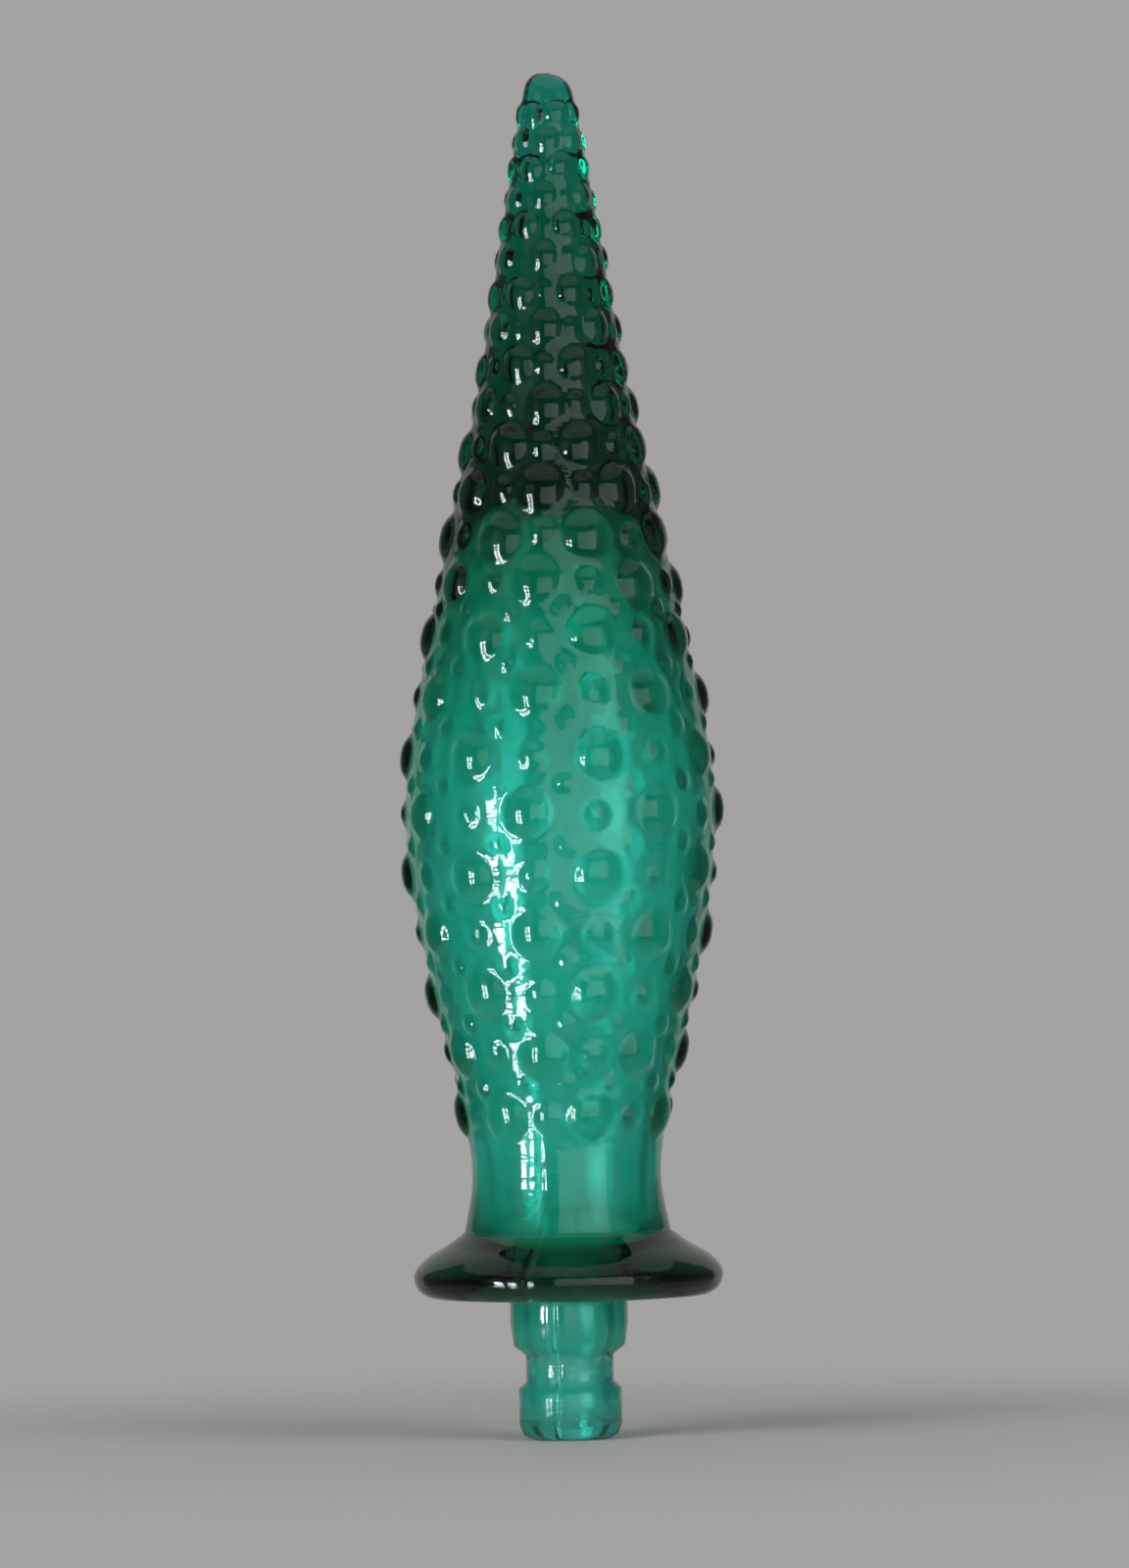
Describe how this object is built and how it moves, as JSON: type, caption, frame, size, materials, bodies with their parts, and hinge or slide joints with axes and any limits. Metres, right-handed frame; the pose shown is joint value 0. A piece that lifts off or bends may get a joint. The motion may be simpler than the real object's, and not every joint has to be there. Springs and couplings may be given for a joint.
{
  "type": "hobnail glass decanter stopper",
  "caption": "Tall tapering green glass bottle stopper with a hollow hobnailed body, a ring collar and a hollow peg.",
  "frame": {"origin": "centre of the collar's flat underside, the face that rests on the bottle's rim", "axes": "+Z along the stopper's axis towards the tip; -Y is the side with the mould seam a little left of centre"},
  "size_m": [0.0553, 0.0546, 0.2345],
  "materials": {
    "hollow_glass": "fire-polished blown glass, emerald green",
    "solid_glass": "fire-polished solid glass, dark green",
    "hobnail_glass": "mould-blown raised glass hobnails, fire-polished"
  },
  "bodies": {
    "root": {"body_wall": "hollow_glass", "solid_tip": "solid_glass", "collar": "hollow_glass", "peg_plug": "hollow_glass", "peg_groove": "hollow_glass", "peg_bead": "hollow_glass", "hobnail_row_01": "hobnail_glass", "hobnail_row_02": "hobnail_glass", "hobnail_row_03": "hobnail_glass", "hobnail_row_04": "hobnail_glass", "hobnail_row_05": "hobnail_glass", "hobnail_row_06": "hobnail_glass", "hobnail_row_07": "hobnail_glass", "hobnail_row_08": "hobnail_glass", "hobnail_row_09": "hobnail_glass", "hobnail_row_10": "hobnail_glass", "hobnail_row_11": "hobnail_glass", "hobnail_row_12": "hobnail_glass", "hobnail_row_13": "hobnail_glass", "hobnail_row_14": "hobnail_glass", "hobnail_row_15": "hobnail_glass", "hobnail_row_16": "hobnail_glass", "hobnail_row_17": "hobnail_glass", "hobnail_row_18": "hobnail_glass", "hobnail_row_19": "hobnail_glass", "hobnail_row_20": "hobnail_glass", "hobnail_row_21": "hobnail_glass", "hobnail_row_22": "hobnail_glass", "hobnail_row_23": "hobnail_glass", "fine_row_01": "hobnail_glass", "fine_row_02": "hobnail_glass", "fine_row_03": "hobnail_glass", "fine_row_04": "hobnail_glass", "fine_row_05": "hobnail_glass", "fine_row_06": "hobnail_glass", "fine_row_07": "hobnail_glass", "fine_row_08": "hobnail_glass", "fine_row_09": "hobnail_glass"}
  },
  "joints": []
}
